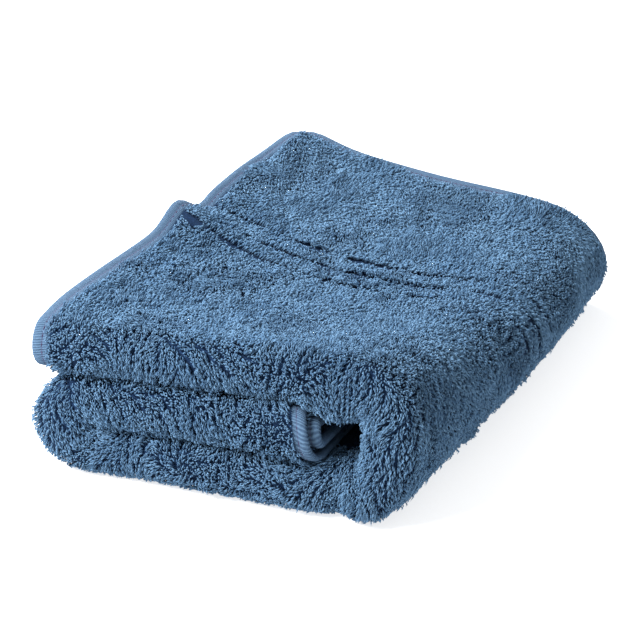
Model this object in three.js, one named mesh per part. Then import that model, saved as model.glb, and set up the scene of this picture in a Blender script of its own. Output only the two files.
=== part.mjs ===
// A terry hand towel, folded in quarters along its length and then rolled flat in three passes.
// The whole towel is one cloth, so it is one closed solid: the cloth's two faces and its hemmed rim.
import * as THREE from 'three';

// Sizes are in millimetres. +X runs across the pad, +Y away from its folded edge, +Z up.
const PAD_WIDTH = 181;
const PAD_DEPTH = 264;
const LAYER_PITCH = 5.1;
const CLOTH_THICKNESS = 4.1;
const GAP_BETWEEN_PASSES = 0.6;

// The hem is a flat woven band, thinner than the cloth with its pile, and rounded at its edge.
const HEM_WIDTH = 7;
const HEM_THICKNESS = 3;
const EDGE_THICKNESS = 1.6;
const EDGE_ROUND = 0.8;
const PILE_RISE = 2.5;

// Each border groove is a strip without pile, measured from the towel's end.
const GROOVES = [98, 113, 128];
const GROOVE_HALF_WIDTH = 1.5;
const GROOVE_DEPTH = 0.8;

// The folded strip is four layers deep, and each pass of the roll is one such strip.
const STRIP_HALF = 1.5 * LAYER_PITCH + CLOTH_THICKNESS / 2;
const PASS_PITCH = 4 * LAYER_PITCH + GAP_BETWEEN_PASSES;
const BOTTOM_PASS = STRIP_HALF;
const TOP_PASS = BOTTOM_PASS + 2 * PASS_PITCH;
const PAD_HEIGHT = TOP_PASS + STRIP_HALF;

// Turns of the roll, and where the middle pass stops inside it.
const RIGHT_TURN = PAD_WIDTH - PASS_PITCH - STRIP_HALF;
const LEFT_TURN = PASS_PITCH / 2 + STRIP_HALF;
const INNER_HEM = 0.7 * PAD_WIDTH;

// Turns of the quarter fold, and how far the two short ends lie inside the back edge.
const FRONT_TURN = STRIP_HALF;
const BACK_TURN = PAD_DEPTH - LAYER_PITCH / 2 - CLOTH_THICKNESS / 2;
const UPPER_END = PAD_DEPTH - 2;
const LOWER_END = PAD_DEPTH - 6;

// How far each layer's long hems have crept inwards at the top and outwards inside the roll.
// The values lie at the ends of the seven runs of the quarter fold.
const CREEP = {
  topHem: [0, 0, 2, 3, 5, 4, 3, 4],
  innerHem: [0, 0, 4, 6, 8, 9, 7, 6],
};
const CREEP_WHOLE = 10;
const CREEP_END = 42;

// How the pad has settled at nine places. A top place moves by x, y and z, a foot place by x and y.
const SETTLED = [
  { place: 'left front', top: [-2, 0, 1], foot: [-1, -12] },
  { place: 'left middle', top: [-2, 1, 2], foot: [0, 0] },
  { place: 'left back', top: [6, 5, 1], foot: [0, 0] },
  { place: 'centre front', top: [2, 6, 11], foot: [8, -7] },
  { place: 'centre', top: [-3, -5, -14], foot: [0, 0] },
  { place: 'centre back', top: [-2, 0, -7], foot: [0, 0] },
  { place: 'right front', top: [-4, 5, 17], foot: [-2, 4] },
  { place: 'right middle', top: [2, -1, -7], foot: [0, 0] },
  { place: 'right back', top: [-4, -3, -14], foot: [2, -2] },
];

// Rises and dips of the upper hem, which lies in waves.
const HEM_WAVES = [
  { y: PAD_DEPTH - 126, reachX: 30, reachY: 13, rise: 5 },
  { y: PAD_DEPTH - 103, reachX: 34, reachY: 9, rise: -3 },
  { y: PAD_DEPTH - 62, reachX: 30, reachY: 24, rise: 2.5 },
  { y: 50, reachX: 26, reachY: 40, rise: 3 },
];
const WAVE_FLOOR = 0.7;

// The foot of the front edge is pinched in beside the right turn, which bulges out.
const FRONT_PUSHES = [
  { x: 141, z: 14, reachX: 7, reachZ: 14, push: 6 },
  { x: 163, z: 15, reachX: 15, reachZ: 17, push: -5 },
];
const FRONT_PUSH_REACH = 40;

// The left turn is packed tight, so its crease lies further in.
const CREASE = { x: 20, z: 20, reachX: 15, reachZ: 13, shift: 8 };

// Where the mesh has an edge, besides the hems, grooves and turns.
const CUTS_ALONG_X = [31, 42, 64, 86, 108];
const CUTS_AT_PINCH = [128, 135, 141, 147];
const CUTS_ALONG_Y = [45, 85, 112, 138, 161, 182, 222];
const HEM_CUTS = [0, EDGE_ROUND, HEM_WIDTH, HEM_WIDTH + PILE_RISE];

function bell(value, middle, reach) {
  return Math.exp(-(((value - middle) / reach) ** 2));
}

// Value at a place between evenly or unevenly spaced marks, in straight lines.
function between(place, marks, values) {
  let i = 1;
  while (i < marks.length - 1 && place > marks[i]) i += 1;
  const t = THREE.MathUtils.clamp((place - marks[i - 1]) / (marks[i] - marks[i - 1]), 0, 1);
  return values[i - 1] + t * (values[i] - values[i - 1]);
}

// A path in a plane, made of straight runs and half turns, each starting where the last one ended.
// The normal points to the left of the way ahead, or to the right where side is -1.
function makePath(start, heading, runs, side) {
  const legs = [];
  const ends = [0];
  let point = new THREE.Vector2(...start);
  let angle = heading;
  for (const run of runs) {
    const leg = { ...run, point, angle, from: ends.at(-1) };
    leg.length = run.ahead ?? Math.PI * run.radius;
    legs.push(leg);
    ends.push(leg.from + leg.length);
    ({ point, angle } = stepAlong(leg, leg.length));
  }
  function at(distance) {
    const leg = legs.findLast((each) => distance >= each.from) ?? legs[0];
    const here = stepAlong(leg, distance - leg.from);
    const normal = new THREE.Vector2(-Math.sin(here.angle), Math.cos(here.angle)).multiplyScalar(side);
    return { point: here.point, normal };
  }
  return { at, ends, length: ends.at(-1) };
}

function stepAlong(leg, distance) {
  const ahead = new THREE.Vector2(Math.cos(leg.angle), Math.sin(leg.angle));
  const left = new THREE.Vector2(-ahead.y, ahead.x);
  if (leg.ahead !== undefined) {
    return { point: leg.point.clone().addScaledVector(ahead, distance), angle: leg.angle };
  }
  const hand = leg.turn === 'left' ? 1 : -1;
  const turned = distance / leg.radius;
  const point = leg.point.clone();
  point.addScaledVector(ahead, leg.radius * Math.sin(turned));
  point.addScaledVector(left, hand * leg.radius * (1 - Math.cos(turned)));
  return { point, angle: leg.angle + hand * turned };
}

// The quarter fold, seen from the side: depth y against height w within the strip.
const quarterFold = makePath([UPPER_END, 1.5 * LAYER_PITCH], Math.PI, [
  { ahead: UPPER_END - FRONT_TURN },
  { turn: 'left', radius: 1.5 * LAYER_PITCH },
  { ahead: BACK_TURN - FRONT_TURN },
  { turn: 'left', radius: 0.5 * LAYER_PITCH },
  { ahead: BACK_TURN - FRONT_TURN },
  { turn: 'right', radius: 0.5 * LAYER_PITCH },
  { ahead: LOWER_END - FRONT_TURN },
], -1);

// The flat roll, seen from the front: x against z at the middle of the strip.
const flatRoll = makePath([0, TOP_PASS], 0, [
  { ahead: RIGHT_TURN },
  { turn: 'right', radius: PASS_PITCH },
  { ahead: RIGHT_TURN - LEFT_TURN },
  { turn: 'right', radius: PASS_PITCH / 2 },
  { ahead: INNER_HEM - LEFT_TURN },
], 1);

// Thickness of the cloth, from the distance to its nearest edge and the place along the towel.
function thicknessAt(edgeDistance, along) {
  const marks = [0, EDGE_ROUND, HEM_WIDTH, HEM_WIDTH + PILE_RISE];
  const plain = between(edgeDistance, marks, [EDGE_THICKNESS, HEM_THICKNESS, HEM_THICKNESS, CLOTH_THICKNESS]);
  let groove = 0;
  for (const middle of GROOVES) {
    groove = Math.max(groove, 1 - Math.abs(along - middle) / GROOVE_HALF_WIDTH);
  }
  return plain - 2 * GROOVE_DEPTH * groove;
}

// Shares of the near, middle and far place in a value that changes smoothly between them.
function shares(t) {
  return [2 * (t - 0.5) * (t - 1), 4 * t * (1 - t), 2 * t * (t - 0.5)];
}

// The neat pad settles into the loose one: a smooth move of all points, so no layer meets another.
function settle(neat) {
  const p = neat.clone();
  p.x += CREASE.shift * bell(neat.x, CREASE.x, CREASE.reachX) * bell(neat.z, CREASE.z, CREASE.reachZ);
  for (const spot of FRONT_PUSHES) {
    const near = bell(p.x, spot.x, spot.reachX) * bell(p.z, spot.z, spot.reachZ);
    p.y += spot.push * near * bell(p.y, 0, FRONT_PUSH_REACH);
  }
  const across = shares(p.x / PAD_WIDTH);
  const back = shares(p.y / PAD_DEPTH);
  const up = p.z / PAD_HEIGHT;
  const move = new THREE.Vector3();
  SETTLED.forEach(({ top, foot }, i) => {
    const share = across[Math.floor(i / 3)] * back[i % 3];
    move.addScaledVector(new THREE.Vector3(...top), share * up);
    move.addScaledVector(new THREE.Vector3(foot[0], foot[1], 0), share * (1 - up));
  });
  for (const wave of HEM_WAVES) {
    const near = bell(p.x, 0, wave.reachX) * bell(p.y, wave.y, wave.reachY);
    move.z += wave.rise * near * THREE.MathUtils.smoothstep(up, WAVE_FLOOR, 1);
  }
  return p.add(move);
}

// A point on one face of the cloth, side 1 being the face that ends up outside.
function clothPoint(across, along, side) {
  const startCreep = between(along, quarterFold.ends, CREEP.topHem);
  const endCreep = between(along, quarterFold.ends, CREEP.innerHem);
  const toStart = across;
  const toEnd = flatRoll.length - across;
  const place = across
    + startCreep * between(toStart, [CREEP_WHOLE, CREEP_END], [1, 0])
    + endCreep * between(toEnd, [CREEP_WHOLE, CREEP_END], [1, 0]);
  const edgeDistance = Math.min(toStart, toEnd, along, quarterFold.length - along);
  const offset = (side * thicknessAt(edgeDistance, along)) / 2;
  const fold = quarterFold.at(along);
  const depth = fold.point.x + offset * fold.normal.x;
  const level = fold.point.y + offset * fold.normal.y;
  const roll = flatRoll.at(place);
  const rolled = roll.point.addScaledVector(roll.normal, level);
  return settle(new THREE.Vector3(rolled.x, depth, rolled.y));
}

// Evenly spaced places inside a run of a path, its ends left out.
function inside(path, run, count) {
  const [from, to] = [path.ends[run], path.ends[run + 1]];
  return Array.from({ length: count }, (_, i) => THREE.MathUtils.lerp(from, to, (i + 1) / (count + 1)));
}

// The firm places, and those of the loose ones that stand clear of them, in order.
function mergeCuts(firm, loose, clearance) {
  const kept = loose.filter((cut) => firm.every((other) => Math.abs(cut - other) >= clearance));
  return [...firm, ...kept].sort((a, b) => a - b);
}

// Mesh lines across the towel, along the roll.
function cutsAcross() {
  const [, topEnd, bottomStart, bottomEnd, middleStart] = flatRoll.ends;
  const firm = [
    ...HEM_CUTS,
    ...HEM_CUTS.map((cut) => flatRoll.length - cut),
    topEnd,
    ...inside(flatRoll, 1, 8),
    bottomStart,
    ...CUTS_AT_PINCH.map((x) => bottomStart + RIGHT_TURN - x),
    bottomEnd,
    ...inside(flatRoll, 3, 5),
    middleStart,
  ];
  const loose = [
    LEFT_TURN,
    ...CUTS_ALONG_X,
    131,
    ...CUTS_ALONG_X.map((x) => bottomStart + RIGHT_TURN - x),
    ...CUTS_ALONG_X.map((x) => middleStart + x - LEFT_TURN),
  ];
  return mergeCuts(firm, loose, 5);
}

// Mesh lines along the towel, along the quarter fold.
function cutsAlong() {
  const [, frontStart, frontEnd, backStart, backEnd, innerStart, innerEnd] = quarterFold.ends;
  const firm = [
    ...HEM_CUTS,
    ...GROOVES.flatMap((cut) => [cut - GROOVE_HALF_WIDTH, cut, cut + GROOVE_HALF_WIDTH]),
    frontStart,
    ...inside(quarterFold, 1, 6),
    frontEnd,
    backStart,
    ...inside(quarterFold, 3, 3),
    backEnd,
    innerStart,
    ...inside(quarterFold, 5, 3),
    innerEnd,
    ...HEM_CUTS.map((cut) => quarterFold.length - cut),
  ];
  const loose = CUTS_ALONG_Y.flatMap((y) => [
    UPPER_END - y,
    frontEnd + y - FRONT_TURN,
    backEnd + BACK_TURN - y,
    innerEnd + y - FRONT_TURN,
  ]);
  return mergeCuts(firm, loose, 6);
}

function makeTowelGeometry() {
  const across = cutsAcross();
  const along = cutsAlong();
  const positions = [];
  for (const side of [1, -1]) {
    for (const s of across) {
      for (const v of along) {
        positions.push(...clothPoint(s, v, side).toArray());
      }
    }
  }
  const faceSize = across.length * along.length;
  const outer = (i, j) => i * along.length + j;
  const inner = (i, j) => faceSize + outer(i, j);
  const triangles = [];
  const addQuad = (a, b, c, d) => triangles.push(a, b, c, a, c, d);
  const lastI = across.length - 1;
  const lastJ = along.length - 1;
  for (let i = 0; i < lastI; i += 1) {
    for (let j = 0; j < lastJ; j += 1) {
      addQuad(outer(i, j), outer(i, j + 1), outer(i + 1, j + 1), outer(i + 1, j));
      addQuad(inner(i, j), inner(i + 1, j), inner(i + 1, j + 1), inner(i, j + 1));
    }
    addQuad(outer(i, 0), outer(i + 1, 0), inner(i + 1, 0), inner(i, 0));
    addQuad(outer(i, lastJ), inner(i, lastJ), inner(i + 1, lastJ), outer(i + 1, lastJ));
  }
  for (let j = 0; j < lastJ; j += 1) {
    addQuad(outer(0, j), inner(0, j), inner(0, j + 1), outer(0, j + 1));
    addQuad(outer(lastI, j), outer(lastI, j + 1), inner(lastI, j + 1), inner(lastI, j));
  }
  const geometry = new THREE.BufferGeometry();
  geometry.setAttribute('position', new THREE.Float32BufferAttribute(positions, 3));
  geometry.setIndex(triangles);
  geometry.computeBoundingBox();
  const middle = geometry.boundingBox.getCenter(new THREE.Vector3());
  geometry.translate(-middle.x, -middle.y, -geometry.boundingBox.min.z);
  geometry.computeVertexNormals();
  return geometry;
}

const terry = new THREE.MeshStandardMaterial({ color: 0x4e688a, roughness: 0.95, metalness: 0 });
const towel = new THREE.Mesh(makeTowelGeometry(), terry);
towel.name = 'towel';

const part = new THREE.Group();
part.add(towel);

export default part;
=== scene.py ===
# %% [markdown]
# # A terry hand towel, folded in quarters and rolled flat
#
# The towel is one length of looped cotton cloth, about 49 by 104 cm, with a flat woven hem round it.
# It is folded in half twice along its length, which makes a strip four layers deep, and the strip is
# then rolled flat across its width in three passes. The frame holds that cloth as one plain solid.
# This lesson dresses it: the woven ground, the loops of the pile, the hems and their stitching.

# %% Load the frame
import math

import bpy
import numpy as np
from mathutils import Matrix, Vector
from mathutils.bvhtree import BVHTree


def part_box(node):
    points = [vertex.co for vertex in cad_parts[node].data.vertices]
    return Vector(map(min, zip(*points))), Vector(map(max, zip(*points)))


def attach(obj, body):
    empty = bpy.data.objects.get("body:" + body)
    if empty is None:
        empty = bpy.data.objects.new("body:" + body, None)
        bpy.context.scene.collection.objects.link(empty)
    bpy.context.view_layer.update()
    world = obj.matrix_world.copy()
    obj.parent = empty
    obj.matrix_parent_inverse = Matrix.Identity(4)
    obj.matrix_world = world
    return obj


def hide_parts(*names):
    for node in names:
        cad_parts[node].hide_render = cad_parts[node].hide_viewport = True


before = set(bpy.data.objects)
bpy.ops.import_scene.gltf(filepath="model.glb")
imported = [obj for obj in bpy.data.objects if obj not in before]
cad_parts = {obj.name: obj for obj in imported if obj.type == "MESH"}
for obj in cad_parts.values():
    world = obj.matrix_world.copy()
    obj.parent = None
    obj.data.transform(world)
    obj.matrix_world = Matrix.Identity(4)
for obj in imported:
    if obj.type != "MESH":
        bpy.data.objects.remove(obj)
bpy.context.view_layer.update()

# %% [markdown]
# ## The sizes of the folded cloth
#
# A fold is a path, so the whole towel can be described by two paths. One is the quarter fold, seen from
# the side. The other is the flat roll, seen from the front. A cloth simulation could fold a sheet too,
# but twelve layers would take long and would never land in the same place as the frame's solid. The two
# paths are worked out from a few sizes in millimetres, the same ones that shape the solid.

# %% Driving sizes in millimetres
# The neat pad, and the cloth that it is folded from.
PAD_WIDTH = 181
PAD_DEPTH = 264
LAYER_PITCH = 5.1
CLOTH_THICKNESS = 4.1
GAP_BETWEEN_PASSES = 0.6
HEM_WIDTH = 7
# The border's three woven grooves, by their distance from either short end of the towel.
GROOVES = [98, 113, 128]
# How far the two short hems stop before the back of the pad.
UPPER_HEM_INSET, LOWER_HEM_INSET = 2, 6

# What follows from them. The roll goes along the top, round the right, back, round the left and in.
STRIP_HALF = 1.5 * LAYER_PITCH + CLOTH_THICKNESS / 2
PASS_PITCH = 4 * LAYER_PITCH + GAP_BETWEEN_PASSES
BOTTOM_PASS = STRIP_HALF
TOP_PASS = BOTTOM_PASS + 2 * PASS_PITCH
PAD_HEIGHT = TOP_PASS + STRIP_HALF
RIGHT_TURN = PAD_WIDTH - PASS_PITCH - STRIP_HALF
LEFT_TURN = PASS_PITCH / 2 + STRIP_HALF
INNER_HEM = 0.7 * PAD_WIDTH
FRONT_TURN = STRIP_HALF
BACK_TURN = PAD_DEPTH - LAYER_PITCH / 2 - CLOTH_THICKNESS / 2
UPPER_END = PAD_DEPTH - UPPER_HEM_INSET
LOWER_END = PAD_DEPTH - LOWER_HEM_INSET
print(f"neat pad {PAD_WIDTH} by {PAD_DEPTH} by {PAD_HEIGHT:.1f} mm")

# %% [markdown]
# ## Folding along a path
#
# A path is made of straight runs and half turns, as a turtle walks it. It turns a distance along the
# cloth into a point and a normal. All of it works on whole arrays, because the pile asks for tens of
# thousands of points.


# %% A path of straight runs and half turns
class FoldPath:
    """Straight runs and half turns in a plane. Its normals point left, or right where side is -1."""

    def __init__(self, start, heading, runs, side):
        self.side = side
        self.legs = []
        self.ends = [0.0]
        point = np.array(start, float)
        angle = heading
        for kind, size in runs:
            length = size if kind == "ahead" else math.pi * size
            self.legs.append((kind, size, point, angle, self.ends[-1]))
            self.ends.append(self.ends[-1] + length)
            points, angles = self.step(kind, size, point, angle, np.array([length]))
            point, angle = points[0], angles[0]
        self.length = self.ends[-1]

    @staticmethod
    def step(kind, size, point, angle, distance):
        """Points and headings at some distances along one run or turn."""
        ahead = np.array([math.cos(angle), math.sin(angle)])
        left = np.array([-ahead[1], ahead[0]])
        if kind == "ahead":
            return point + distance[:, None] * ahead, np.full(len(distance), angle)
        hand = 1 if kind == "left" else -1
        turned = distance / size
        shift = size * np.sin(turned)[:, None] * ahead
        shift = shift + hand * size * (1 - np.cos(turned))[:, None] * left
        return point + shift, angle + hand * turned

    def at(self, distance):
        """Points and normals at any distances along the whole path."""
        distance = np.asarray(distance, float)
        points = np.zeros(distance.shape + (2,))
        angles = np.zeros(distance.shape)
        leg_of = np.clip(np.searchsorted(self.ends, distance, side="right") - 1, 0, len(self.legs) - 1)
        for i, (kind, size, point, angle, start) in enumerate(self.legs):
            here = leg_of == i
            points[here], angles[here] = self.step(kind, size, point, angle, distance[here] - start)
        normals = self.side * np.stack([-np.sin(angles), np.cos(angles)], axis=-1)
        return points, normals


quarter_fold = FoldPath((UPPER_END, 1.5 * LAYER_PITCH), math.pi, [
    ("ahead", UPPER_END - FRONT_TURN),
    ("left", 1.5 * LAYER_PITCH),
    ("ahead", BACK_TURN - FRONT_TURN),
    ("left", 0.5 * LAYER_PITCH),
    ("ahead", BACK_TURN - FRONT_TURN),
    ("right", 0.5 * LAYER_PITCH),
    ("ahead", LOWER_END - FRONT_TURN),
], side=-1)
flat_roll = FoldPath((0, TOP_PASS), 0, [
    ("ahead", RIGHT_TURN),
    ("right", PASS_PITCH),
    ("ahead", RIGHT_TURN - LEFT_TURN),
    ("right", PASS_PITCH / 2),
    ("ahead", INNER_HEM - LEFT_TURN),
], side=1)
ACROSS, ALONG = flat_roll.length, quarter_fold.length
print(f"the flat towel is {ACROSS:.0f} by {ALONG:.0f} mm")

# %% [markdown]
# ## Letting the pad settle
#
# A neat pad looks machine made. The real one is loose: the front folds stand high, the middle sinks, the
# upper hem lies in waves and the foot of the right turn bulges out. One smooth move of all space does
# this, so layers that don't meet before it don't meet after it.

# %% How the pad has settled, in millimetres
# Each place of the pad moves by top at its top, and by foot at the floor, and all between them smoothly.
SETTLED = [
    dict(place="left front", top=(-2, 0, 1), foot=(-1, -12)),
    dict(place="left middle", top=(-2, 1, 2), foot=(0, 0)),
    dict(place="left back", top=(6, 5, 1), foot=(0, 0)),
    dict(place="centre front", top=(2, 6, 11), foot=(8, -7)),
    dict(place="centre", top=(-3, -5, -14), foot=(0, 0)),
    dict(place="centre back", top=(-2, 0, -7), foot=(0, 0)),
    dict(place="right front", top=(-4, 5, 17), foot=(-2, 4)),
    dict(place="right middle", top=(2, -1, -7), foot=(0, 0)),
    dict(place="right back", top=(-4, -3, -14), foot=(2, -2)),
]
HEM_WAVES = [
    dict(y=PAD_DEPTH - 126, reach_x=30, reach_y=13, rise=5),
    dict(y=PAD_DEPTH - 103, reach_x=34, reach_y=9, rise=-3),
    dict(y=PAD_DEPTH - 62, reach_x=30, reach_y=24, rise=2.5),
    dict(y=50, reach_x=26, reach_y=40, rise=3),
]
# The hem's waves fade out below this share of the pad's height.
WAVE_FLOOR = 0.7
# At the front the foot of the roll is pushed in beside the hollow and bulges out under the right turn.
FRONT_PUSHES = [
    dict(x=141, z=14, reach_x=7, reach_z=14, push=6),
    dict(x=163, z=15, reach_x=15, reach_z=17, push=-5),
]
FRONT_PUSH_REACH = 40
# The left turn is pinched in near the floor.
CREASE = dict(x=20, z=20, reach_x=15, reach_z=13, shift=8)

# %% [markdown]
# ## Soft spots of the dressed cloth
#
# The frame's solid has the large shapes alone. Soft cloth shows more when it is looked at closely: the
# roof and wall of the hollow sag into it, the upper hem humps, the corner at the back stands up before it
# droops, and the folded strip opens at its inner end like a mouth. Sculpting by hand could add these, but
# a push in space that fades like a bell can be written down, and it moves all layers together.

# %% Soft spots, in millimetres
# What lies near the middle of a spot moves most, and what lies past its reach hardly at all.
SAGS = [
    dict(place="hollow roof", at=(141, 2, 45), reach=(17, 24, 9), move=(0, 0, -8)),
    dict(place="mouth front", at=(127, -2, 31), reach=(9, 10, 9), move=(0, -1.8, 0)),
    dict(place="right turn", at=(181, 150, 30), reach=(20, 100, 30), move=(1.4, 0, 0)),
    dict(place="front", at=(80, 0, 30), reach=(90, 12, 40), move=(0, -0.6, 0)),
    dict(place="upper hem", at=(0, 120, 62), reach=(12, 110, 14), move=(-0.8, 0, 0.5)),
    dict(place="hollow wall", at=(163, 0, 31), reach=(9, 34, 13), move=(-6, 0, 0)),
    dict(place="back corner", at=(8, 248, 60), reach=(20, 30, 16), move=(-0.5, 0.3, 4.8)),
    dict(place="back corner tip", at=(0, 264, 60), reach=(8, 8, 14), move=(0, 0, -4)),
    dict(place="upper hem hump", at=(0, 138, 60), reach=(26, 15, 14), move=(0, 0, 2.8)),
    dict(place="upper hem front", at=(0, 22, 60), reach=(24, 24, 14), move=(-0.5, 0, 1.8)),
    dict(place="back edge", at=(135, 262, 60), reach=(34, 40, 22), move=(0, 0, 1.8)),
    dict(place="left turn", at=(0, 0, 22), reach=(14, 45, 16), move=(-2.6, 0, 0)),
    dict(place="front foot", at=(65, 0, 0), reach=(48, 22, 10), move=(0, 2.9, 0)),
    dict(place="right back foot", at=(181, 235, 20), reach=(18, 35, 20), move=(-1.4, 0, 0)),
]
# Above the middle of the mouth the layers move up, and below it down. Its lip is how soon they part.
MOUTH = dict(
    x=127, y=0, z=BOTTOM_PASS + PASS_PITCH,
    reach_x=16, reach_y=34, reach_z=13,
    lip=3.5, up=4.2, down=3.4,
)


# %% Move points to where they lie
def bell(value, middle, reach):
    """1 at the middle, fading to nothing about two reaches away."""
    return np.exp(-(((value - middle) / reach) ** 2))


def smooth_step(value, low, high):
    """0 up to low, 1 from high on, and a smooth rise between them."""
    t = np.clip((value - low) / (high - low), 0, 1)
    return t * t * (3 - 2 * t)


def shares(t):
    """Shares of the near, middle and far place in a value that changes smoothly between them."""
    return 2 * (t - 0.5) * (t - 1), 4 * t * (1 - t), 2 * t * (t - 0.5)


def settle(x, y, z, dressed=True):
    """Moves points of the neat pad to where they lie in the loose one."""
    if dressed:
        off = z - MOUTH["z"]
        parted = bell(x, MOUTH["x"], MOUTH["reach_x"]) * bell(y, MOUTH["y"], MOUTH["reach_y"])
        parted = parted * bell(off, 0, MOUTH["reach_z"]) * np.tanh(off / MOUTH["lip"])
        z = z + parted * np.where(off > 0, MOUTH["up"], MOUTH["down"])
    near_crease = bell(x, CREASE["x"], CREASE["reach_x"]) * bell(z, CREASE["z"], CREASE["reach_z"])
    x = x + CREASE["shift"] * near_crease
    for bulge in FRONT_PUSHES:
        near = bell(x, bulge["x"], bulge["reach_x"]) * bell(z, bulge["z"], bulge["reach_z"])
        y = y + bulge["push"] * near * bell(y, 0, FRONT_PUSH_REACH)
    across, back, up = shares(x / PAD_WIDTH), shares(y / PAD_DEPTH), z / PAD_HEIGHT
    move = np.zeros(np.shape(x) + (3,))
    for i, place in enumerate(SETTLED):
        share = across[i // 3] * back[i % 3]
        move += (share * up)[..., None] * np.array(place["top"])
        move += (share * (1 - up))[..., None] * np.array(place["foot"] + (0,))
    for wave in HEM_WAVES:
        near = bell(x, 0, wave["reach_x"]) * bell(y, wave["y"], wave["reach_y"])
        move[..., 2] += wave["rise"] * near * smooth_step(up, WAVE_FLOOR, 1)
    for sag in SAGS if dressed else []:
        near = np.ones(np.shape(x))
        for value, middle, reach in zip((x, y, z), sag["at"], sag["reach"]):
            near = near * bell(value, middle, reach)
        move += near[..., None] * np.array(sag["move"])
    return np.stack([x, y, z], axis=-1) + move


# %% [markdown]
# ## From the flat towel to the pad
#
# Now any spot on the flat towel has a place: so far across, so far along, and so high above the middle
# of the cloth. The hems of inner layers creep in or out, as they do on a real stack, and its corners are
# a little round. The pad is then shifted onto the frame's own box.

# %% A spot on the cloth
# How far the two long hems creep at each end of a run of the quarter fold, in millimetres. The creep is
# whole near the hem and is gone further in.
TOP_HEM_CREEP = [0, 0, 2, 3, 5, 4, 3, 4]
INNER_HEM_CREEP = [-2, -2, 6, 6, 6.5, 6.5, 5, 4]
CREEP_WHOLE, CREEP_END = 10, 42
CORNER_ROUND = 8


def edge_distance(across, along):
    """How far places on the flat towel lie from its nearest edge."""
    return np.minimum(np.minimum(across, ACROSS - across), np.minimum(along, ALONG - along))


def round_corners(across, along):
    """Draws the four square corners of the cloth in to quarter circles."""
    in_a = CORNER_ROUND - np.minimum(across, ACROSS - across)
    in_b = CORNER_ROUND - np.minimum(along, ALONG - along)
    corner = (in_a > 0) & (in_b > 0)
    far = np.where(corner, np.hypot(in_a, in_b), 1)
    pull = np.where(corner, 1 - np.maximum(in_a, in_b) / far, 0)
    across = across + np.where(across < ACROSS / 2, 1, -1) * in_a * pull
    along = along + np.where(along < ALONG / 2, 1, -1) * in_b * pull
    return across, along


def spot(across, along, height, dressed=True):
    """Points of the settled towel, in millimetres. Height is measured from the middle of the cloth."""
    across, along, height = np.broadcast_arrays(across, along, height)
    across, along = round_corners(across, along)
    start = np.interp(across, [CREEP_WHOLE, CREEP_END], [1, 0])
    end = np.interp(ACROSS - across, [CREEP_WHOLE, CREEP_END], [1, 0])
    place = across + start * np.interp(along, quarter_fold.ends, TOP_HEM_CREEP)
    place = place + end * np.interp(along, quarter_fold.ends, INNER_HEM_CREEP)
    fold_point, fold_normal = quarter_fold.at(along)
    depth = fold_point[..., 0] + height * fold_normal[..., 0]
    level = fold_point[..., 1] + height * fold_normal[..., 1]
    roll_point, roll_normal = flat_roll.at(place)
    x = roll_point[..., 0] + level * roll_normal[..., 0]
    z = roll_point[..., 1] + level * roll_normal[..., 1]
    return settle(x, depth, z, dressed)


# %% Shift the pad onto the frame
def pad_box(across, along):
    """The low and high corner of the undressed pad, both faces of the cloth together."""
    faces = [spot(across, along, side * CLOTH_THICKNESS / 2, dressed=False) for side in (1, -1)]
    flat = np.concatenate([face.reshape(-1, 3) for face in faces])
    return flat.min(axis=0), flat.max(axis=0)


PROBES_ACROSS, PROBES_ALONG = 250, 1600
pad_low, pad_high = pad_box(*np.meshgrid(
    np.linspace(0, ACROSS, PROBES_ACROSS), np.linspace(0, ALONG, PROBES_ALONG), indexing="ij"
))
towel_low, towel_high = (np.array(corner) * 1000 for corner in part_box("towel"))
SHIFT = (towel_low + towel_high - pad_low - pad_high) / 2
SHIFT[2] = towel_low[2] - pad_low[2]
difference = (towel_high - towel_low) - (pad_high - pad_low)
print("the towel box and the pad differ by, mm:", np.round(difference, 2))
print("shift into the frame, mm:", np.round(SHIFT, 2))


def to_frame(points):
    """Millimetres of the pad to metres of the frame."""
    return (points + SHIFT) / 1000


def floor_height(points):
    """How high points of the pad stand above the floor, in millimetres."""
    return points[..., 2] + SHIFT[2]


# %% [markdown]
# ## Meshes from arrays
#
# Blender can take whole arrays of points and faces, which is far quicker than adding them one by one.
# One helper makes every piece, and also stores numbers on its points for the materials to read.


# %% Make a mesh piece
def make_piece(name, points, faces, material, numbers=None):
    """A smooth mesh object. points are in millimetres of the pad, and faces all have as many corners."""
    faces = np.asarray(faces, np.int32)
    corners = faces.shape[1]
    mesh = bpy.data.meshes.new(name)
    mesh.vertices.add(len(points))
    placed = to_frame(points)
    # Nothing may reach below the floor.
    placed[:, 2] = np.maximum(placed[:, 2], 0)
    mesh.vertices.foreach_set("co", placed.astype(np.float32).ravel())
    mesh.loops.add(faces.size)
    mesh.loops.foreach_set("vertex_index", faces.ravel())
    mesh.polygons.add(len(faces))
    mesh.polygons.foreach_set("loop_start", np.arange(0, faces.size, corners, dtype=np.int32))
    mesh.polygons.foreach_set("use_smooth", np.ones(len(faces), bool))
    for key, values in (numbers or {}).items():
        layer = mesh.attributes.new(key, "FLOAT", "POINT")
        layer.data.foreach_set("value", np.asarray(values, np.float32))
    mesh.update(calc_edges=True)
    mesh.validate()
    mesh.materials.append(material)
    piece = bpy.data.objects.new(name, mesh)
    bpy.context.scene.collection.objects.link(piece)
    print(f"{name}: {len(points)} points, {len(faces) * (corners - 2)} triangles")
    return piece


# %% [markdown]
# ## Writing materials as sums
#
# A node tree is a sum drawn with boxes. A small class lets it be written as one instead: adding or
# multiplying two sockets puts in the Math node that does it. Colours go through Mix nodes.


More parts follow.
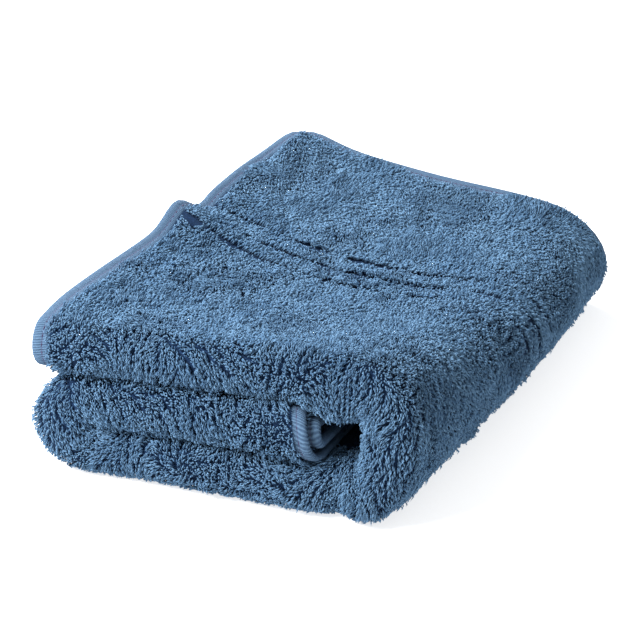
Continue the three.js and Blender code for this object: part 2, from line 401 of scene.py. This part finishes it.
# %% Shader maths as expressions
class Link:
    """An output socket that can be used in sums of values."""

    def __init__(self, recipe, socket):
        self.recipe = recipe
        self.socket = socket

    def maths(self, operation, *others):
        """A Math node with this socket as its first value."""
        inputs = dict(enumerate((self,) + others))
        return self.recipe.add("ShaderNodeMath", {"operation": operation}, inputs)

    def __add__(self, other):
        return self.maths("ADD", other)

    def __sub__(self, other):
        return self.maths("SUBTRACT", other)

    def __mul__(self, other):
        return self.maths("MULTIPLY", other)

    def __rsub__(self, other):
        return self.recipe.add("ShaderNodeMath", {"operation": "SUBTRACT"}, {0: other, 1: self})

    __radd__ = __add__
    __rmul__ = __mul__


class Recipe:
    """A material that is written down step by step."""

    def __init__(self, name):
        self.material = bpy.data.materials.new(name)
        self.material.use_nodes = True
        self.tree = self.material.node_tree
        self.tree.nodes.clear()

    def add(self, kind, settings=None, inputs=None, output=0):
        """Any node: its type, its settings, and the values or links of its sockets."""
        node = self.tree.nodes.new(kind)
        for key, value in (settings or {}).items():
            setattr(node, key, value)
        for key, value in (inputs or {}).items():
            if isinstance(value, Link):
                self.tree.links.new(value.socket, node.inputs[key])
            else:
                node.inputs[key].default_value = value
        return Link(self, node.outputs[output])

    def number(self, name):
        """A number that is stored on the piece's points."""
        return self.add("ShaderNodeAttribute", {"attribute_name": name}, output="Fac")

    def noise(self, scale, detail=2):
        """Noise in the piece's own space, finer where scale is larger."""
        place = self.add("ShaderNodeTexCoord", output="Object")
        inputs = {"Vector": place, "Scale": scale, "Detail": detail}
        return self.add("ShaderNodeTexNoise", {}, inputs, output="Fac")

    def ramp(self, value, low, high):
        """0 up to low, 1 from high on, and a smooth rise between them."""
        inputs = {"Value": value, "From Min": low, "From Max": high}
        return self.add("ShaderNodeMapRange", {"interpolation_type": "SMOOTHSTEP"}, inputs)

    def mix(self, share, first, second):
        """A colour between two. The Mix node's colour sockets come after those for numbers and vectors."""
        inputs = {0: share, 6: first, 7: second}
        return self.add("ShaderNodeMix", {"data_type": "RGBA"}, inputs, output=2)

    def bump(self, height, distance, strength):
        """A normal for the shader. The distance is in metres."""
        inputs = {"Height": height, "Distance": distance, "Strength": strength}
        return self.add("ShaderNodeBump", {}, inputs)

    def finish(self, constants, **links):
        """Adds the shader, with its constants set on its own sockets, and returns the material."""
        shader = self.tree.nodes.new("ShaderNodeBsdfPrincipled")
        for key, value in constants.items():
            shader.inputs[key].default_value = value
        for key, value in links.items():
            self.tree.links.new(value.socket, shader.inputs[key.replace("_", " ")])
        output = self.tree.nodes.new("ShaderNodeOutputMaterial")
        self.tree.links.new(shader.outputs[0], output.inputs["Surface"])
        print("material", self.material.name, "with", len(self.tree.nodes), "nodes")
        return self.material


def colour(red, green, blue):
    """A colour given as it looks on a screen, 0 to 255, as the light values that Blender works with."""
    return tuple(((c / 255 + 0.055) / 1.055) ** 2.4 for c in (red, green, blue)) + (1.0,)


# %% [markdown]
# ## The woven ground
#
# Terry has a flat woven ground that carries the loops, and a hem of ground cloth alone, turned over and
# stitched. Here the ground is a closed sheet on the towel's own folds. Its mesh is fine on the outer
# quarter and at the turns, and coarse where layers hide each other.

# %% The cotton's colours, with painted shade for the ground between the loops and at the loops' feet
# The first colour is painted shade for the ground between the loops; DEEP is the cotton's deep tone and also
# the painted shade at each loop's foot.
GAP_SHADE = colour(24, 43, 70)
DEEP = colour(32, 56, 90)
BLUE = colour(51, 83, 116)
PALE = colour(104, 137, 166)
HEM_DARK = colour(42, 62, 88)
HEM_PALE = colour(98, 126, 153)
PLUM = colour(70, 60, 88)
COTTON = {"Sheen Roughness": 0.5, "Sheen Tint": colour(150, 185, 225)}

# %% The ground's material
# Distances from the edge, and sizes of the hem's ribs, in millimetres.
HEM_FADE = (6.4, 7.4)
SEWN_FROM, SEWN_TO = (4.0, 4.3), (4.7, 5.0)
RIB_PITCH = 0.85
RIB_WANDER = 0.5
RIB_SLANT = 0.1


def ground_material():
    """Ground cloth in painted shade between the loops, pressed pile on the underside, and the flat hem with
    its ribs and sewn line.
    """
    r = Recipe("terry_ground")
    edge = r.number("edge_mm")
    run = r.number("run_mm")
    under = r.number("under")
    hem = 1 - r.ramp(edge, *HEM_FADE)
    yarn = r.noise(700, 3)
    # Painted shade: the ground cloth under the pile is dark, as it lies in the loops' shade.
    shaded = r.mix(r.ramp(yarn, 0.4, 0.75), GAP_SHADE, DEEP)
    pressed = r.mix(r.ramp(yarn, 0.35, 0.65), DEEP, PALE)
    cloth = r.mix(under, shaded, pressed)
    wander = r.noise(220) * RIB_WANDER
    turn = (run + wander + edge * RIB_SLANT) * (2 * math.pi / RIB_PITCH)
    rib = turn.maths("SINE") * 0.5 + 0.5
    ribbed = r.mix(rib * 0.55 + yarn * 0.45, HEM_DARK, HEM_PALE)
    sewn = r.ramp(edge, *SEWN_FROM) * (1 - r.ramp(edge, *SEWN_TO))
    ribbed = r.mix(sewn * 0.35, ribbed, PLUM)
    base = r.mix(hem, cloth, ribbed)
    normal = r.bump(hem * rib * 0.6 + yarn * 0.5, 0.0007, 0.9)
    plain = {**COTTON, "Roughness": 0.95, "Sheen Weight": 0.15, "Specular IOR Level": 0.1}
    return r.finish(plain, Base_Color=base, Normal=normal)


ground_finish = ground_material()

# %% Lines of the ground's grid, in millimetres
# The distance between lines on each run of the two paths.
ROLL_STEPS = [5, 5, 5, 3, 6]
FOLD_STEPS = [5, 2.4, 12, 1.3, 12, 1.3, 12]
CLOSEST_LINES = 0.25
# Lines by the hem, from the edge inwards, and half the thickness there: a turned edge, a full roll, a dip
# at the sewn line, and the step down to the ground cloth.
HEM_MARKS = np.array([0, 0.5, 1.5, 2.8, 3.8, 4.5, 5.3, 6.2, HEM_WIDTH + 0.5, HEM_WIDTH + 3.0])
HEM_HALF = np.array([0.45, 1.05, 1.5, 1.6, 1.45, 1.2, 1.35, 1.2, 0.9, 0.9])
GROUND_HALF = HEM_HALF[-1]


def grid_lines(path, steps):
    """Places along a path: those by both hems, and even ones about a step apart on each run."""
    places = [HEM_MARKS, path.length - HEM_MARKS]
    for low, high, step in zip(path.ends, path.ends[1:], steps):
        places.append(np.linspace(low, high, max(2, round((high - low) / step) + 1)))
    places = np.sort(np.concatenate(places))
    return places[np.concatenate([[True], np.diff(places) > CLOSEST_LINES])]


def half_thickness(across, along):
    """Half the thickness of the hem, or of the ground cloth further in."""
    return np.interp(edge_distance(across, along), HEM_MARKS, HEM_HALF)


# %% The ground's mesh
# The underside is pressed up to the first of these heights above the floor, and not from the second on.
PRESSED = (1.5, 4.0)


def sheet_faces(rows, columns):
    """Faces of a closed sheet whose points are a grid of outer ones, and then the same of inner ones."""
    index = np.arange(rows * columns).reshape(rows, columns)
    corners = [index[:-1, :-1], index[:-1, 1:], index[1:, 1:], index[1:, :-1]]
    outer = np.stack(corners, axis=-1).reshape(-1, 4)
    inner = outer[:, ::-1] + index.size
    loop = np.concatenate([index[:-1, 0], index[-1, :-1], index[:0:-1, -1], index[0, :0:-1]])
    ahead = np.roll(loop, -1)
    rim = np.stack([loop, ahead, ahead + index.size, loop + index.size], axis=-1)
    return np.concatenate([outer, inner, rim])


def ground_sheet():
    """The whole towel as a closed sheet: points, faces, and numbers for its material."""
    across, along = np.meshgrid(
        grid_lines(flat_roll, ROLL_STEPS), grid_lines(quarter_fold, FOLD_STEPS), indexing="ij"
    )
    half = half_thickness(across, along)
    points = np.concatenate([spot(across, along, side * half).reshape(-1, 3) for side in (1, -1)])
    edge = edge_distance(across, along)
    by_long_edge = np.minimum(across, ACROSS - across) <= edge
    run = np.where(by_long_edge, along, across)
    under = 1 - smooth_step(floor_height(points), *PRESSED)
    numbers = {"edge_mm": np.tile(edge.ravel(), 2), "run_mm": np.tile(run.ravel(), 2), "under": under}
    return points, sheet_faces(*across.shape), numbers


ground_points, ground_faces, ground_numbers = ground_sheet()
ground = make_piece("terry_cloth", ground_points, ground_faces, ground_finish, ground_numbers)

# %% [markdown]
# ## Where the pile shows
#
# At the density used here the towel would have nearly two million loops, but most would lie between
# layers. Only those that light can reach are worth making. So a coarse net of points is laid over both
# faces, and from each a few straight lines are sent out. The share that gets away without meeting cloth
# or the table says how open the spot is.


# %% Directions on the cloth
def local_frame(across, along, side):
    """The middle of the cloth, and its unit directions across, along and outwards on one side."""
    step = 0.5
    here = spot(across, along, 0.0)
    ahead_across = spot(across + step, along, 0.0) - here
    ahead_along = spot(across, along + step, 0.0) - here
    outwards = np.cross(ahead_along, ahead_across) * np.asarray(side)[..., None]
    ways = (ahead_across, ahead_along, outwards)
    return here, *(way / np.linalg.norm(way, axis=-1, keepdims=True) for way in ways)


# %% How open each spot of the cloth is, in millimetres
OPEN_STEP = 5.0
OPEN_INSET = 2
LINE_START = 2.6
LINE_LENGTH = 400
LINES = 10
# A line that falls more steeply than this is taken to meet the table.
STEEPEST_FALL = -0.02
open_across = np.linspace(OPEN_INSET, ACROSS - OPEN_INSET, round(ACROSS / OPEN_STEP))
open_along = np.linspace(OPEN_INSET, ALONG - OPEN_INSET, round(ALONG / OPEN_STEP))


def dome(count):
    """Directions spread evenly over a dome, as shares across, along and outwards."""
    k = np.arange(count) + 0.5
    up = np.sqrt(1 - k / count)
    flat = np.sqrt(1 - up**2)
    turn = k * math.pi * (3 - math.sqrt(5))
    return np.stack([flat * np.cos(turn), flat * np.sin(turn), up], axis=-1)


def openness(side, tree):
    """For each point of the net, the share of its lines that get away, from 0, covered, to 1, free."""
    grid_across, grid_along = np.meshgrid(open_across, open_along, indexing="ij")
    middle, across, along, outwards = local_frame(grid_across, grid_along, np.full(grid_across.shape, side))
    start = middle + outwards * LINE_START
    free = np.zeros(grid_across.shape)
    for share_across, share_along, share_out in dome(LINES):
        aim = across * share_across + along * share_along + outwards * share_out
        for i, j in zip(*np.nonzero(aim[..., 2] >= STEEPEST_FALL)):
            if tree.ray_cast(Vector(start[i, j]), Vector(aim[i, j]), LINE_LENGTH)[0] is None:
                free[i, j] += 1 / LINES
    return free


cloth_tree = BVHTree.FromPolygons(
    [Vector(point) for point in ground_points], [tuple(map(int, face)) for face in ground_faces]
)
OPEN = {side: openness(side, cloth_tree) for side in (1, -1)}
for side, net in OPEN.items():
    print(f"side {side}: {(net > 0.05).mean():.0%} of the cloth shows")

# %% [markdown]
# ## The pile
#
# Each loop of the pile is a short bent yarn: up out of the ground, over, and back down. Hair particles
# could grow them, but the export needs meshes, and a mesh also casts real shadows between its loops. In
# the wash a loop's strands spread, so a few slender spindles stand for each real loop, and the code calls
# a spindle a loop. Each is closed, three-sided and bent over at its crest, and all of them come out of
# one set of array sums. They are sown evenly, but not on the hems or in the border's woven grooves.

# %% Slow random fields over the cloth
rng = np.random.default_rng(7)
WAVES_A_FIELD = 24


def field(scale, seed):
    """A smooth random field over the flat towel, about -1 to 1, that changes over the given millimetres."""
    own = np.random.default_rng(seed)
    headings = own.uniform(0, 2 * math.pi, WAVES_A_FIELD)
    paces = 2 * math.pi / scale * own.uniform(0.5, 1.3, WAVES_A_FIELD)
    phases = own.uniform(0, 2 * math.pi, WAVES_A_FIELD)

    def value(across, along):
        total = np.zeros(np.shape(across))
        for heading, pace, phase in zip(headings, paces, phases):
            total += np.sin((across * math.cos(heading) + along * math.sin(heading)) * pace + phase)
        return total * math.sqrt(2 / WAVES_A_FIELD) / 1.6

    return value


swirl_field = field(60, 11)
stray_field = field(17, 12)
tuft_field = field(9, 13)
loft_field = field(26, 14)

# %% Sow the loops
LOOPS_PER_MM2 = 1.8
# How far off the corner of its cell a loop or a lock may lie, as shares of the cell.
JITTER = (0.05, 0.95)
LEAST_LIGHT = 0.04
PILE_STARTS = 6.5
# Half the width of a groove, in millimetres. From the roll's first turn on it is narrower by a share,
# which comes in over a few millimetres, and it wanders by another share all along.
GROOVE_BARE = 1.8
GROOVE_CLOSES, GROOVE_FADE = 0.18, 12
GROOVE_WANDER = 0.35


def net_place(value, marks):
    """The even mark of a net that a value comes after, and the share of the way to the next one."""
    place = np.clip((value - marks[0]) / (marks[1] - marks[0]), 0, len(marks) - 1.001)
    return place.astype(int), place - place.astype(int)


def light_at(across, along, side):
    """How open the cloth is at each place on one side, read from the net."""
    i, past_i = net_place(across, open_across)
    j, past_j = net_place(along, open_along)
    net = OPEN[side]
    light = (net[i, j] * (1 - past_i) + net[i + 1, j] * past_i) * (1 - past_j)
    return light + (net[i, j + 1] * (1 - past_i) + net[i + 1, j + 1] * past_i) * past_j


def sow(side):
    """Jittered places for loops on one side, where they show and aren't on a hem or in a groove."""
    step = 1 / math.sqrt(LOOPS_PER_MM2)
    rows, columns = np.meshgrid(np.arange(int(ACROSS / step)), np.arange(int(ALONG / step)), indexing="ij")
    across = ((rows + rng.uniform(*JITTER, rows.shape)) * step).ravel()
    along = ((columns + rng.uniform(*JITTER, columns.shape)) * step).ravel()
    keep = (light_at(across, along, side) > LEAST_LIGHT) & (edge_distance(across, along) > PILE_STARTS)
    past_top = smooth_step(across, flat_roll.ends[1] - GROOVE_FADE, flat_roll.ends[1] + GROOVE_FADE)
    bare = GROOVE_BARE * (1 - GROOVE_CLOSES * past_top)
    bare = bare * (1 + GROOVE_WANDER * stray_field(across, along))
    for middle in GROOVES:
        keep &= np.abs(along - middle) > bare
        keep &= np.abs(ALONG - along - middle) > bare
    return across[keep], along[keep], np.full(keep.sum(), side)


sown = [np.concatenate(each) for each in zip(sow(1), sow(-1))]
print("loops:", len(sown[0]))

# %% [markdown]
# ## Locks and swirls
#
# Washed terry isn't even. Neighbouring loops cling together in small locks a few millimetres wide, with
# dark partings between them, and the locks lie over in slow swirls. Combing each loop by hand is out of
# the question, so one rule gives its lean: the swirl, a pull towards the middle of its lock, a little
# hang on steep faces, and a parting beside each groove. The far end of the top lies smoother.

# %% Gather the loops in locks, in millimetres
LOCK_STEP = 3.9
LOCK_STRETCH = 0.42
LOCK_HALF = 1.25
LOCK_TURN = 0.2
FURTHEST_ASIDE = 1.6
LOCK_REACH = 2


class Locks:
    """Scattered middles on the flat towel. The loops round each one make a lock, longer along their lie."""

    def __init__(self, seed):
        own = np.random.default_rng(seed)
        self.rows, self.columns = (int(size / LOCK_STEP) + 2 * LOCK_REACH + 1 for size in (ACROSS, ALONG))
        self.jitter = own.uniform(*JITTER, (self.rows, self.columns, 2))
        self.turn = own.normal(0, LOCK_TURN, (self.rows, self.columns))
        self.loft = own.uniform(-1, 1, (self.rows, self.columns))

    def nearest(self, across, along, ahead):
        """How far aside the middle of each place's lock is, in half widths, and the lock's turn and loft."""
        place = np.stack([across, along], -1)
        cell = (place / LOCK_STEP).astype(int) + LOCK_REACH
        least = np.full(len(across), np.inf)
        aside, turn, loft = np.zeros((3, len(across)))
        steps = range(-LOCK_REACH, LOCK_REACH + 1)
        for over, up in ((a, b) for a in steps for b in steps):
            row = np.clip(cell[:, 0] + over, 0, self.rows - 1)
            column = np.clip(cell[:, 1] + up, 0, self.columns - 1)
            corner = np.stack([row - LOCK_REACH, column - LOCK_REACH], -1)
            way = (corner + self.jitter[row, column]) * LOCK_STEP - place
            off = way[:, 1] * ahead[:, 0] - way[:, 0] * ahead[:, 1]
            far = off**2 + (LOCK_STRETCH * (way * ahead).sum(axis=1)) ** 2
            nearer = far < least
            least[nearer] = far[nearer]
            aside[nearer] = off[nearer] / LOCK_HALF
            turn[nearer] = self.turn[row, column][nearer]
            loft[nearer] = self.loft[row, column][nearer]
        return np.clip(aside, -FURTHEST_ASIDE, FURTHEST_ASIDE), turn, loft


LOCKS = {1: Locks(21), -1: Locks(22)}
print("locks on each side:", LOCKS[1].rows * LOCKS[1].columns)

# %% How the loops lie
# Turns are in radians, and pulls are shares of a loop's whole lean.
FLOW, SWIRL_TURN, STRAY_TURN = 0.25, 1.5, 0.6
HANG, STEEP_LESS = 0.35, 0.25
LOCK_PULL = 0.36
STRAY = 0.24
# The top is smooth up to the first of these distances along, and fully tousled from the second on.
TOUSLED = (55, 130)
LEAST_TOUSLED = 0.2
# A lock's loops vary in length by the first, and those at its rim are shorter and painted darker by the
# others, a painted shade for the partings between locks.
LOCK_LOFT, RIM_SHORTER, RIM_DARKER = 0.1, 0.14, 0.45
RIM_END = 1.3
GROOVE_PART = 2.6
GROOVE_LEAN = 0.5


def part_at_grooves(lie, across, along):
    """Makes the loops beside each groove lean away from it, more in some places than in others."""
    share = np.clip(0.75 + 0.6 * stray_field(across, along), 0, 1)
    for middle in GROOVES:
        for line in (middle, ALONG - middle):
            off = along - line
            near = bell(off, 0, GROOVE_PART) * share
            lie[:, 1] += near * (GROOVE_LEAN * np.sign(off) - lie[:, 1])


def lie_of(across, along, side, down):
    """How each loop leans, in units across and along, its length and painted shade, 1 being plain, and its
    tousle.
    """
    angle = FLOW + SWIRL_TURN * swirl_field(across, along) + STRAY_TURN * stray_field(across, along)
    steep = np.linalg.norm(down, axis=1, keepdims=True)
    lie = np.stack([np.cos(angle), np.sin(angle)], -1) * (1 - STEEP_LESS * steep) + HANG * down
    ahead = lie / np.linalg.norm(lie, axis=1, keepdims=True)
    found = [LOCKS[s].nearest(across, along, ahead) for s in (1, -1)]
    aside, turn, loft = (np.where(side > 0, first, second) for first, second in zip(*found))
    sideways = np.stack([-ahead[:, 1], ahead[:, 0]], -1)
    tousled = LEAST_TOUSLED + (1 - LEAST_TOUSLED) * smooth_step(along, *TOUSLED)
    pull = tousled * (LOCK_PULL * aside + turn)
    # Smooth cloth has the stronger lean, so its loops lie flatter.
    lie = lie * (1.3 - 0.3 * tousled)[:, None] + sideways * pull[:, None]
    part_at_grooves(lie, across, along)
    lie = lie + rng.normal(0, STRAY, lie.shape)
    rim = np.clip(np.abs(aside), 0, RIM_END) ** 2
    length = 1 + tousled * (LOCK_LOFT * loft - RIM_SHORTER * rim)
    return lie, length, 1 - RIM_DARKER * tousled * rim, tousled


# %% Bend the loops over
LOOP_LENGTH = 4.0
LOOP_SPREAD = 0.22
SHORTEST = 0.45
# Below the first height above the floor loops are shortest, and from the second on they are whole.
FLOOR_SHORTENS = (1, 9)
STEEPEST, FLATTEST, LEAN = (math.radians(angle) for angle in (8, 70, 52))
LEAST_RISE = 1.1
FOOT_DEPTH, STEM = 0.5, 0.9
MOST_DROOP = 0.35
CURL = 0.4


def bend_loops(across, along, side):
    """Where each loop starts, bends over and ends, and the cloth's normal, its painted shade and its tousle.
    """
    middle, u, v, n = local_frame(across, along, side)
    lie, size, painted_rim_shade, tousled = lie_of(across, along, side, -np.stack([u[:, 2], v[:, 2]], -1))
    size = size * (SHORTEST + (1 - SHORTEST) * smooth_step(floor_height(middle), *FLOOR_SHORTENS))
    strength = np.linalg.norm(lie, axis=1)
    lean = (u * lie[:, :1] + v * lie[:, 1:]) / strength[:, None]
    aside = np.cross(n, lean)
    tilt = np.clip(strength * LEAN, STEEPEST, FLATTEST)
    loft = 1 + 0.14 * tuft_field(across, along) + 0.16 * loft_field(across, along)
    length = LOOP_LENGTH * size * loft * rng.uniform(1 - LOOP_SPREAD, 1 + LOOP_SPREAD, len(across))
    reach = length * np.sin(tilt)
    rise = np.maximum(length * np.cos(tilt), LEAST_RISE)
    droop = rng.uniform(0, MOST_DROOP, len(across)) * np.sin(tilt)
    curl = rng.normal(0, CURL, len(across))
    foot = middle + n * (GROUND_HALF - FOOT_DEPTH)

    def at(up, forward, sideways):
        return foot + n * (STEM + up)[:, None] + lean * forward[:, None] + aside * sideways[:, None]

    crest = at(0.85 * rise, 0.5 * reach, 0.5 * curl)
    tip = at(rise * (1 - droop), reach, -0.4 * curl)
    return foot, crest, tip, n, painted_rim_shade, tousled


# %% Shape the loops
LOOP_RADIUS = 0.38
RADIUS_SPREAD = 0.2
# A loop's five points are its foot, three round its crest and its tip.
SPINDLE = np.array([(0, 2, 1), (0, 3, 2), (0, 1, 3), (4, 1, 2), (4, 2, 3), (4, 3, 1)])
SPINDLE_SHADE = [0, 0.75, 0.75, 0.75, 1]
SMOOTH_FOOT_SHADE = 0.6
CHANCE_IN_TONE = 0.55


def ring_round(way, normal):
    """Three unit directions for each loop, square to the way that it runs."""
    corner = math.pi / 2 + 2 * math.pi * np.arange(3) / 3
    flat = np.cross(way, normal)
    flat /= np.linalg.norm(flat, axis=1, keepdims=True)
    upright = np.cross(flat, way)
    upright /= np.linalg.norm(upright, axis=1, keepdims=True)
    return np.cos(corner)[:, None] * flat[:, None] + np.sin(corner)[:, None] * upright[:, None]


def shape_loops(across, along, side):
    """Points, faces and numbers of one loop for each place: a slender closed spindle."""
    count = len(across)
    foot, crest, tip, normal, painted_rim_shade, tousled = bend_loops(across, along, side)
    radius = LOOP_RADIUS * rng.uniform(1 - RADIUS_SPREAD, 1 + RADIUS_SPREAD, count)
    ring = crest[:, None] + ring_round(tip - foot, normal) * radius[:, None, None]
    points = np.concatenate([foot[:, None], ring, tip[:, None]], axis=1)
    faces = SPINDLE + 5 * np.arange(count)[:, None, None]
    # Painted shade along each loop, darkest at its foot; smooth, flat pile hides its feet, so there the foot
    # is painted less dark.
    shade = np.broadcast_to(SPINDLE_SHADE, (count, 5)).copy()
    shade[:, 0] = SMOOTH_FOOT_SHADE * (1 - tousled)
    # Tone differs at random, and painted shade darkens the loops at the rims of locks.
    tone_and_rim_shade = CHANCE_IN_TONE * rng.uniform(0, 1, count) + (1 - CHANCE_IN_TONE) * painted_rim_shade
    tone_and_rim_shade = np.repeat(np.clip(tone_and_rim_shade, 0, 1), 5)
    return points.reshape(-1, 3), faces.reshape(-1, 3), {"tip": shade.ravel(), "tone_and_rim_shade": tone_and_rim_shade}


# %% [markdown]
# ## The pile's colour
#
# The cotton is dyed in one slate blue. It looks deep where loops part and pale where they stand up in the
# light, and no two loops are quite alike. A picture could carry that, but it would have to be laid over
# every loop, so the colour comes from two numbers stored on the loops and from slow and fine noise: painted
# shade at each loop's foot and at the rims of locks, and tone that differs at random.


# %% The pile's material
def pile_material():
    """Cotton loops: painted shade darker at the foot and at the rims of locks, paler where they stand up,
    each a little different.
    """
    r = Recipe("terry_pile")
    tip = r.number("tip")
    tone_and_rim_shade = r.number("tone_and_rim_shade")
    patches = r.noise(38)
    fibre = r.noise(1500)
    # How pale each loop is: random tone with painted shade at the rims of locks, and slow and fine noise.
    light = tone_and_rim_shade * 0.45 + patches * 0.35 + fibre * 0.35
    base = r.mix(r.ramp(light, 0.2, 0.95), BLUE, PALE)
    # Painted shade: each loop darkens towards its foot, where shade falls among the loops.
    base = r.mix(1 - r.ramp(tip, 0.0, 0.8), base, DEEP)
    plain = {**COTTON, "Roughness": 0.9, "Sheen Weight": 0.12, "Specular IOR Level": 0.06}
    return r.finish(plain, Base_Color=base, Normal=r.bump(fibre, 0.0003, 0.6))


pile_finish = pile_material()

# %% Make the pile
# The pile is cut into pieces from one end of the towel to the other, to keep each piece's mesh small.
LOOPS_A_PIECE = 33000
order = np.argsort(sown[1], kind="stable")
chunks = np.array_split(order, math.ceil(len(order) / LOOPS_A_PIECE))
pile = []
for number, chunk in enumerate(chunks, start=1):
    loop_points, loop_faces, loop_numbers = shape_loops(*(each[chunk] for each in sown))
    pile.append(make_piece(f"terry_pile_{number}", loop_points, loop_faces, pile_finish, loop_numbers))

# %% [markdown]
# ## The sewn hems
#
# A line of lockstitch in dark plum thread holds the turned hem on each face. Its stitches are short spans
# of thread that sink into the cloth at both ends. A painted line would look flat, so they are small bodies
# and the line stays a dashed one from any side. Only those in the open are made.

# %% Sew the hems, in millimetres
STITCH_LINE = 4.5
STITCH_PITCH = 2.9
STITCH_HALF = np.array([1.1, 0.3, 0.24])
STITCH_SPREAD = 0.1
STITCH_LIFT, STITCH_SINK = 0.02, 0.25


def sewn_places():
    """Where each stitch lies on the flat towel, and which way it runs: 0 across, 1 along."""
    places = []
    for length, width, way in ((ACROSS, ALONG, 0), (ALONG, ACROSS, 1)):
        run = np.arange(STITCH_LINE, length - STITCH_LINE, STITCH_PITCH)
        for edge in (STITCH_LINE, width - STITCH_LINE):
            place = [run, np.full(len(run), edge)]
            places.append(np.stack([place[way], place[1 - way], np.full(len(run), way)], axis=-1))
    return np.concatenate(places)


def stitch_row(side):
    """The stitches in the open on one side, as eight-sided beads of six points, two on each axis."""
    places = sewn_places()
    places = places[light_at(places[:, 0], places[:, 1], side) > LEAST_LIGHT]
    across, along, way = places.T
    middle, u, v, n = local_frame(across, along, np.full(len(across), side))
    ahead, aside = np.where(way[:, None] == 0, u, v), np.where(way[:, None] == 0, v, u)
    centre = middle + n * (half_thickness(across, along) + STITCH_LIFT)[:, None]
    reach = STITCH_HALF * rng.uniform(1 - STITCH_SPREAD, 1 + STITCH_SPREAD, (len(across), 3))
    points = []
    for axis, size in ((ahead, reach[:, :1]), (aside, reach[:, 1:2]), (n, reach[:, 2:])):
        points += [centre + axis * size, centre - axis * size]
    points = np.stack(points, axis=1)
    points[:, :2] -= STITCH_SINK * n[:, None]
    one = np.array([(a, b, c) for a in (0, 1) for b in (2, 3) for c in (4, 5)])
    first, second, third = (points[:, one[:, corner]] for corner in range(3))
    faced = np.cross(second - first, third - first) * (points[:, one].mean(axis=2) - centre[:, None])
    outwards = faced.sum(axis=-1) > 0
    faces = np.where(outwards[..., None], one, one[:, ::-1]) + 6 * np.arange(len(across))[:, None, None]
    return points.reshape(-1, 3), faces.reshape(-1, 3)


def thread_material():
    r = Recipe("sewing_thread")
    ply = r.noise(1800)
    base = r.mix(ply, colour(40, 34, 62), colour(84, 70, 104))
    plain = {"Roughness": 0.7, "Specular IOR Level": 0.25}
    return r.finish(plain, Base_Color=base, Normal=r.bump(ply, 0.0002, 0.6))


(outer_points, outer_faces), (inner_points, inner_faces) = (stitch_row(side) for side in (1, -1))
stitch_points = np.concatenate([outer_points, inner_points])
stitch_faces = np.concatenate([outer_faces, inner_faces + len(outer_points)])
stitches = make_piece("hem_stitches", stitch_points, stitch_faces, thread_material())

# %% [markdown]
# ## Fit the pieces to the frame
#
# The towel has no joints, so every piece rides on the one body. The ground sheet stands for the frame's
# solid, which is hidden.

# %% Ride and replace
for piece in [ground, *pile, stitches]:
    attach(piece, "root")
    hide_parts("towel")

# %% [markdown]
# ## Studio
#
# The photograph is a product picture on white: a plain pale floor, soft light and hardly any shadow. A
# large dome of white light alone would be too flat to show the pile. So a soft key stands low behind the
# pad on the left, a broad fill stands in front on the left, and the floor glows a little by itself.


# %% The floor
def make_floor():
    """A wide white floor, glowing enough to come out white without lighting the cloth's sides too much."""
    r = Recipe("floor")
    finish = r.finish({
        "Base Color": (0.6, 0.61, 0.62, 1), "Roughness": 0.9, "Specular IOR Level": 0.1,
        "Emission Color": (1, 1, 1, 1), "Emission Strength": 0.72,
    })
    bpy.ops.mesh.primitive_plane_add(size=8, location=(0, 0, 0))
    floor = bpy.context.object
    floor.name = "floor"
    floor.data.materials.append(finish)
    return floor


floor = make_floor()

# %% The lights
LIT_POINT = Vector((0, 0, 0.03))


def make_light(name, place, size, power):
    """A round soft light that faces the pad. Its place and size are in metres, and its power in watts."""
    light = bpy.data.lights.new(name, "AREA")
    light.shape = "DISK"
    light.size = size
    light.energy = power
    lamp = bpy.data.objects.new(name, light)
    lamp.location = place
    lamp.rotation_euler = (LIT_POINT - Vector(place)).to_track_quat("-Z", "Y").to_euler()
    bpy.context.scene.collection.objects.link(lamp)


make_light("key", (-0.5, 0.48, 0.36), 0.3, 9.2)
make_light("fill", (-0.5, -0.62, 0.8), 0.6, 25)
world = bpy.data.worlds.new("studio")
world.use_nodes = True
background = world.node_tree.nodes["Background"]
background.inputs["Color"].default_value = (0.98, 0.99, 1.0, 1)
background.inputs["Strength"].default_value = 0.64
bpy.context.scene.world = world
bpy.context.scene.view_settings.view_transform = "Standard"

# %% [markdown]
# ## Camera
#
# The photograph looks down at the front and the right side from a little over a metre. The turn, tilt and
# distance were fitted by outline, until the pad's corners fell where the photograph has them.
# A long lens keeps the far end nearly as wide as the near one. Lengths are in millimetres of the pad.

# %% The camera
CAMERA_TURN = math.radians(24.5)
CAMERA_TILT = math.radians(25.5)
CAMERA_AWAY = 1230
# The fitted focal length, and the picture's width, in pixels.
FOCAL_LENGTH, PICTURE_WIDTH = 2600, 640
SENSOR_WIDTH = 36
LOOKS_AT = np.array([82, 124, 30])

camera_data = bpy.data.cameras.new("camera")
camera_data.sensor_width = SENSOR_WIDTH
camera_data.lens = SENSOR_WIDTH * FOCAL_LENGTH / PICTURE_WIDTH
camera = bpy.data.objects.new("camera", camera_data)
view = np.array([
    -math.sin(CAMERA_TURN) * math.cos(CAMERA_TILT),
    math.cos(CAMERA_TURN) * math.cos(CAMERA_TILT),
    -math.sin(CAMERA_TILT),
])
camera.location = to_frame(LOOKS_AT - CAMERA_AWAY * view)
camera.rotation_euler = Vector(view).to_track_quat("-Z", "Y").to_euler()
bpy.context.scene.collection.objects.link(camera)
bpy.context.scene.camera = camera
print("camera at", [round(c, 3) for c in camera.location])
